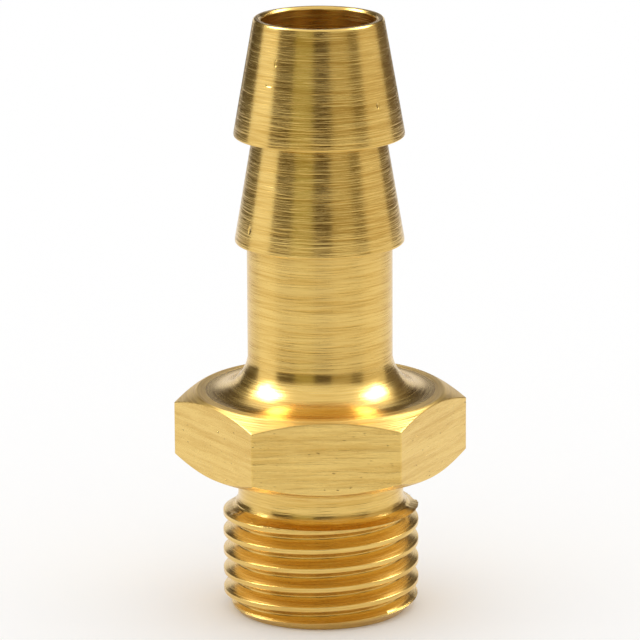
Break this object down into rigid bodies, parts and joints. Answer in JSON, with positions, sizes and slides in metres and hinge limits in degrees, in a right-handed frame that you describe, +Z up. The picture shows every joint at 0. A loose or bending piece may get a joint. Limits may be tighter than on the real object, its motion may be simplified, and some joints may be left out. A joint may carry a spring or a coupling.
{
  "type": "hose barb tail",
  "caption": "One-piece brass hose tail: barbed spigot with a through bore, hexagon for a spanner, and a male pipe thread below a relief groove.",
  "frame": {"origin": "centre of the threaded end face, the lowest face of the part as it stands", "axes": "+Z up the common axis from the threaded end to the hose end; two of the hexagon's flats face +Y and -Y"},
  "size_m": [0.0196, 0.017, 0.0404],
  "materials": {
    "brass": "as turned, fine circumferential tool marks; the hexagon's flats keep the drawn bar's satin skin"
  },
  "bodies": {
    "root": {"hose_tail": "brass"}
  },
  "joints": []
}
